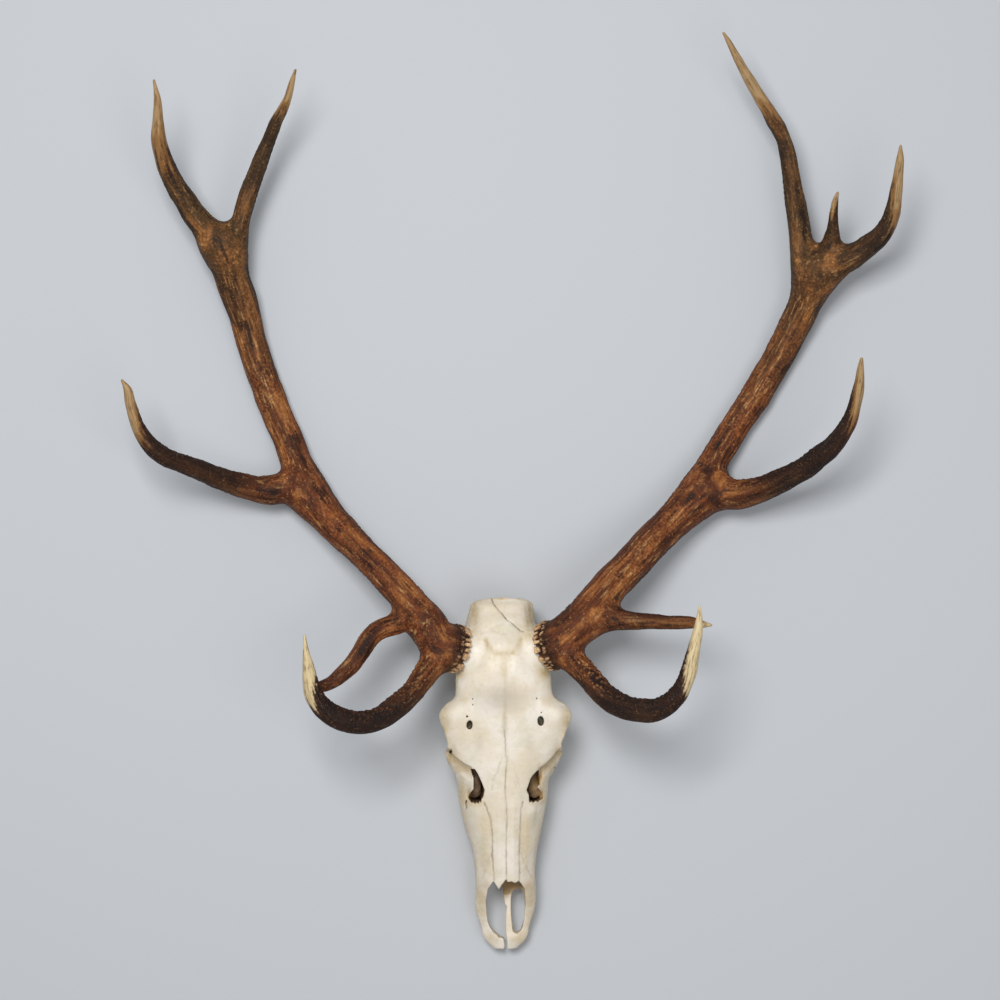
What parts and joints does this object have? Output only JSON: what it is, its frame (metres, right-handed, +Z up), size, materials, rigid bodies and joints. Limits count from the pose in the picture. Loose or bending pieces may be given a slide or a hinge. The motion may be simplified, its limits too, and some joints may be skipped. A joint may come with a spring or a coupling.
{
  "type": "red deer skull with antlers",
  "caption": "Upper skull of a red deer stag with both branching antlers and its cheek teeth, lying on its teeth and beams.",
  "frame": {"origin": "on the floor under the middle of the object's bounding box", "axes": "+X towards the antler at the picture's right, +Y towards the back of the head and the crowns, +Z up out of the forehead"},
  "size_m": [0.8612, 1.0356, 0.2223],
  "materials": {
    "bone": "dry cream bone, dull, with a faint sheen on the forehead",
    "enamel": "worn tooth enamel, slightly glossy",
    "antler": "grooved and pearled reddish brown antler, rubbed to ivory at the tips"
  },
  "bodies": {
    "root": {"skull": "bone", "molar_left_3": "enamel", "molar_left_2": "enamel", "molar_left_1": "enamel", "premolar_left_3": "enamel", "premolar_left_2": "enamel", "premolar_left_1": "enamel", "molar_right_3": "enamel", "molar_right_2": "enamel", "molar_right_1": "enamel", "premolar_right_3": "enamel", "premolar_right_2": "enamel", "premolar_right_1": "enamel", "antler_base_left": "antler", "brow_tine_left": "antler", "bez_tine_left": "antler", "beam_lower_left": "antler", "trez_tine_left": "antler", "beam_upper_left": "antler", "crown_outer_left": "antler", "crown_inner_left": "antler", "antler_base_right": "antler", "brow_tine_right": "antler", "bez_tine_right": "antler", "beam_lower_right": "antler", "trez_tine_right": "antler", "beam_upper_right": "antler", "crown_inner_right": "antler", "crown_middle_right": "antler", "crown_outer_right": "antler"}
  },
  "joints": []
}
